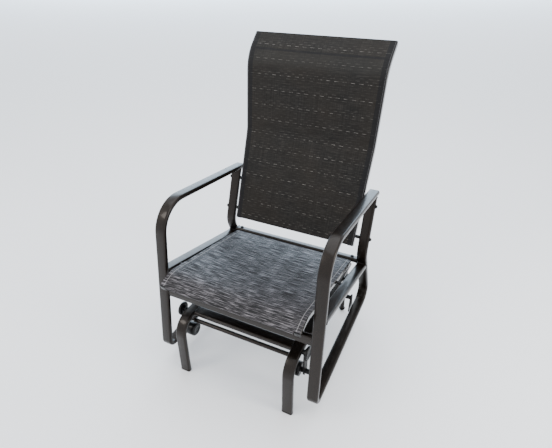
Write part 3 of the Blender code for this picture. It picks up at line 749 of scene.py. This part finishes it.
def make_back():
    path = bent_path(BACK_CORNERS, BACK_BENDS, 3.0, 0.03)
    section = rounded_rectangle(BACK_RAIL, BACK_RAIL, BACK_CORNER, 4)
    for word, side in SIDES.items():
        mesh = swept("rail", path, section, lambda z: side * back_x(z))
        add(f"back_rail_tube_{word}", mesh, RAIL_PAINT_LIGHTENED, "seat", [f"back_rail_{word}"])
        for label, end, before in (("foot", path[0], path[1]), ("top", path[-1], path[-2])):
            mesh = domed_plug(end, direction(before, end), BACK_RAIL, BACK_RAIL, BACK_CORNER, back_x, side)
            add(f"back_{label}_cap_{word}", mesh, PLASTIC, "seat",
                [f"back_{label}_plug_{word}"])
    reach = BACK_RAIL / 2 - CLOTH_EDGE
    front = dense(offset_path(path, BACK_RAIL / 2 + CLOTH / 2 + GAP))
    mesh, length = sling("back_cloth", front, lambda z: back_x(z) + reach, BACK_RAIL, BACK_SAG)
    low, high = back_x(front[0].y) + reach, back_x(front[-1].y) + reach
    look = back_cloth(low, (high - low) / length, length)
    cloth = add("back_cloth", mesh, look, "seat", ["back_sling"])
    thicken(cloth)
    across_hem("back_top_hem", front[-1], high - 0.001)
    across_hem("back_foot_hem", front[0], low - 0.001)


# ------------------------------------------------------------------ base
def make_base():
    corners = [(BASE_FRONT, BASE_FOOT_HEIGHT), (BASE_FRONT, BASE_TOP), (BASE_RAIL_END, BASE_TOP)]
    path = bent_path(corners, [BASE_BEND])
    half = BASE_X - TUBE_WIDTH / 2 - GAP
    under = BASE_TOP - TUBE_DEPTH / 2 - GAP
    loops = []
    for word, side in SIDES.items():
        mesh = swept("arch", path, SECTION, lambda z: side * BASE_X)
        add(f"base_arch_{word}", mesh, FRAME_PAINT, "base", [f"base_side_{word}"])
        profile = [(REAR_FOOT_HEIGHT, 0), (REAR_FOOT_HEIGHT, REAR_LEG_RADIUS), (0.06, REAR_LEG_RADIUS),
                   (0.12, REAR_LEG_RADIUS), (0.18, REAR_LEG_RADIUS), (under, REAR_LEG_RADIUS), (under, 0)]
        place = (side * REAR_LEG_X, REAR_LEG_Y + SHIFT_Y, 0)
        add(f"base_back_leg_{word}", lathe("leg", profile, place, axis="Z"), FRAME_PAINT, "base",
            [f"base_rear_leg_{word}"])
        loops.append(circle((place[0], place[1], under - 2 * GAP), REAR_LEG_RADIUS + GAP, "Z", 32))
    for word, y in BASE_BARS.items():
        mesh = bar_mesh("bar", half, (y, BASE_TOP), BASE_BAR_WIDTH, TUBE_DEPTH)
        add(f"base_{word}_cross_tube", mesh, FRAME_PAINT, "base", [f"base_{word}_bar"])
        loops += bar_weld(half, (y, BASE_TOP), BASE_BAR_WIDTH, TUBE_DEPTH)
    profile = [(-half, 0), (-half, BASE_ROD_RADIUS)]
    profile += [(half * t / 4, BASE_ROD_RADIUS) for t in range(-3, 4)] + [(half, BASE_ROD_RADIUS), (half, 0)]
    place = (0, BASE_ROD[0] + SHIFT_Y, BASE_ROD[1])
    add("base_rod", lathe("rod", profile, place), FRAME_PAINT, "base", ["base_front_rod"])
    for side in (1, -1):
        loops.append(circle((side * (half - GAP), place[1], place[2]), BASE_ROD_RADIUS + GAP, "X", 28))
    beads = [bead(loop, BASE_BEAD) for loop in loops]
    add("base_welds", join_works("welds", beads), FRAME_PAINT, "base")


# ------------------------------------------------------------------ link pivots and bolts
def make_pivots():
    """Upper bolts with their caps on the base, lower pins with their stop rollers on the seat."""
    link_in, link_out = LINK_X - LINK_THICKNESS / 2, LINK_X + LINK_THICKNESS / 2
    outer = BASE_X + TUBE_WIDTH / 2 + GAP
    tip = BASE_X - TUBE_WIDTH / 2 + 0.001
    cap = link_out + GAP
    end = cap + CAP_THICKNESS
    lug_in = frame_x(PIVOT_Z - LINK_LENGTH, -1) - LUG_THICKNESS - 0.0015 - GAP
    lug_out = lug_in + LUG_THICKNESS + 2 * GAP
    upper = [
        (tip, 0), (tip, 0.0037), (tip + 0.0008, 0.0045), (outer, 0.0045), (outer, 0.0086),
        (outer + 0.0006, SPACER_RADIUS), (link_in - GAP, SPACER_RADIUS), (link_in - GAP, PIN_RADIUS),
        (cap, PIN_RADIUS), (cap, 0.0250), (cap + 0.0008, 0.0258), (cap + 0.0022, CAP_RADIUS),
        (end - 0.0040, CAP_RADIUS), (end - 0.0022, 0.0252), (end - 0.0009, 0.0235), (end - 0.0002, 0.0205),
        (end, 0.0170), (end - 0.0006, 0.0160), (end - 0.0014, 0.0150), (end - 0.0014, 0.0),
    ]
    low, high = ROLLER_FROM, ROLLER_TO
    groove_from, groove_to = ROLLER_GROOVE
    lower = [
        (low + 0.0016, 0), (low + 0.0016, 0.0085), (low + 0.0008, 0.0095), (low, 0.0110), (low, 0.0195),
        (low + 0.0006, 0.0218), (low + 0.0018, 0.0240), (low + 0.0034, 0.0254), (low + 0.0050, CAP_RADIUS),
        (groove_from, CAP_RADIUS), (groove_from + 0.0006, 0.0252), (groove_to - 0.0006, 0.0252),
        (groove_to, CAP_RADIUS), (high - 0.0026, CAP_RADIUS), (high - 0.0008, 0.0252), (high, 0.0236),
        (high, SPACER_RADIUS), (link_in - GAP, SPACER_RADIUS), (link_in - GAP, PIN_RADIUS),
        (link_out + GAP, PIN_RADIUS), (link_out + GAP, SPACER_RADIUS), (lug_in, SPACER_RADIUS),
        (lug_in, 0.005), (lug_out, 0.005), (lug_out, 0.0080), (lug_out + 0.0012, 0.0077),
        (lug_out + 0.0025, 0.0060), (lug_out + 0.0033, 0.0030), (lug_out + 0.0034, 0),
    ]
    for label, y in PIVOT_Y.items():
        for word, side in SIDES.items():
            mesh = lathe("cap", upper, (0, y + SHIFT_Y, PIVOT_Z), side, steps=56)
            add(f"pivot_cap_{label}_{word}", mesh, PLASTIC, "base",
                [f"upper_pivot_bolt_{label}_{word}"])
            mesh = lathe("roller", lower, (0, y + SHIFT_Y, PIVOT_Z - LINK_LENGTH), side, steps=56)
            add(f"stop_roller_{label}_{word}", mesh, PLASTIC, "seat",
                [f"lower_pivot_pin_{label}_{word}"])


def bolt(rail_in, rail_out, frame_in, frame_out, head=True):
    """Shank, spacer, and a domed cap nut on its washer or a flush end."""
    nut = frame_out + 2 * GAP
    start, end = rail_out + 2 * GAP, frame_in - 2 * GAP
    profile = [
        (rail_in + 0.001, 0), (rail_in + 0.001, 0.003), (start, 0.003), (start, 0.0062),
        (start + 0.0006, 0.0068), (end - 0.0006, 0.0068), (end, 0.0062), (end, 0.003),
    ]
    if not head:
        return profile + [(frame_out - 0.0010, 0.003), (frame_out - 0.0008, 0.0026), (frame_out - 0.0008, 0)]
    return profile + [
        (nut, 0.003), (nut, 0.0076), (nut + 0.0003, 0.0078), (nut + 0.0010, 0.0078), (nut + 0.0012, 0.0074),
        (nut + 0.0012, 0.0061), (nut + 0.0030, 0.0061), (nut + 0.0036, 0.0057), (nut + 0.0048, 0.0048),
        (nut + 0.0057, 0.0035), (nut + 0.0061, 0.0018), (nut + 0.0062, 0),
    ]


def make_bolts():
    for label, z in BACK_BOLT_Z.items():
        y = line_at(NECK_CORNER[::-1], UPRIGHT_TOP[::-1], z)
        rail = back_x(z)
        profile = bolt(rail - BACK_RAIL / 2, rail + BACK_RAIL / 2, frame_x(z, -1), frame_x(z, 1))
        for word, side in SIDES.items():
            mesh = lathe("bolt", profile, (0, y + SHIFT_Y, z), side, steps=32)
            add(f"back_cap_bolt_{label}_{word}", mesh, STEEL, "seat",
                [f"back_bolt_{label}_{word}"])
    for label, y in SEAT_BOLT_Y.items():
        z = (line_at(SEAT_CORNERS[0], SEAT_CORNERS[1], y) + line_at(SEAT_RAIL_REAR, SEAT_RAIL_FRONT, y)) / 2
        profile = bolt(SLING_RAIL_X - SLING_RAIL / 2, SLING_RAIL_X + SLING_RAIL / 2, frame_x(z, -1),
                       frame_x(z, 1), head=False)
        for word, side in SIDES.items():
            mesh = lathe("bolt", profile, (0, y + SHIFT_Y, z), side, steps=32)
            add(f"seat_flush_bolt_{label}_{word}", mesh, STEEL, "seat",
                [f"seat_bolt_{label}_{word}"])


def make_corner_fittings():
    """Black screws with washers on the rear crossbar, beside each side frame."""
    profile = [(0.0003, 0), (0.0003, 0.0085), (0.0010, 0.0085), (0.0013, 0.0080), (0.0013, 0.0062),
               (0.0042, 0.0060), (0.0056, 0.0048), (0.0062, 0.0028), (0.0062, 0.0)]
    top = Vector((-math.sin(SEAT_RAIL_TILT), math.cos(SEAT_RAIL_TILT))) * TUBE_DEPTH / 2
    for word, side in SIDES.items():
        mesh = lathe("screw", profile, (0, 0, 0), axis="Z", steps=32)
        place = (side * CORNER_SCREW_X, REAR_BAR[0] + top.x + SHIFT_Y, REAR_BAR[1] + top.y)
        mesh.transform(Matrix.Translation(place) @ Matrix.Rotation(SEAT_RAIL_TILT, 4, "X"))
        add(f"rear_corner_screw_{word}", mesh, STEEL, "seat")


def dress_cad_nodes():
    """Materials for the CAD nodes that stay in view."""
    slots = {s["node"]: s["material_slot"] for s in frame["record"]["subparts"]}
    looks = {"frame": FRAME_PAINT, "sling_rail": RAIL_PAINT_LIGHTENED, "black_plastic": PLASTIC, "black_steel": STEEL}
    for name, node in frame["nodes"].items():
        look = looks.get(slots.get(name))
        if look:
            node.data.materials.clear()
            node.data.materials.append(look)


# ------------------------------------------------------------------ stage
def area_light(name, place, target, size, power, colour):
    data = bpy.data.lights.new(name, "AREA")
    data.shape = "RECTANGLE"
    data.size, data.size_y = size
    data.energy = power
    data.color = colour
    item = link(bpy.data.objects.new(name, data))
    item.location = place
    item.rotation_euler = (Vector(target) - Vector(place)).to_track_quat("-Z", "Y").to_euler()


def make_stage():
    bpy.ops.mesh.primitive_plane_add(size=FLOOR_SIZE, location=FLOOR_PLACE)
    floor = bpy.context.object
    floor.name = "studio_floor"
    look = Nodes("pale_floor").surface((*FLOOR_COLOUR, 1.0), 0.8, Specular_IOR_Level=0.2)
    floor.data.materials.append(look)
    world = bpy.data.worlds.new("studio")
    world.use_nodes = True
    background = world.node_tree.nodes["Background"]
    background.inputs["Color"].default_value = WORLD_COLOUR
    background.inputs["Strength"].default_value = WORLD_STRENGTH
    bpy.context.scene.world = world
    for light in LIGHTS:
        area_light(*light)


def make_camera():
    data = bpy.data.cameras.new("camera")
    data.sensor_fit = "HORIZONTAL"
    data.sensor_width = 36.0
    data.lens = CAMERA_LENS
    data.clip_start = 0.05
    data.dof.use_dof = False
    camera = link(bpy.data.objects.new("camera", data))
    camera.location = CAMERA_PLACE
    camera.rotation_euler = (math.radians(90 - CAMERA_PITCH), 0, math.radians(CAMERA_AZIMUTH))
    bpy.context.scene.camera = camera


make_camera()
make_stage()
dress_cad_nodes()
make_side_frames()
make_crossbars()
make_seat()
make_back()
make_base()
make_pivots()
make_bolts()
make_corner_fittings()
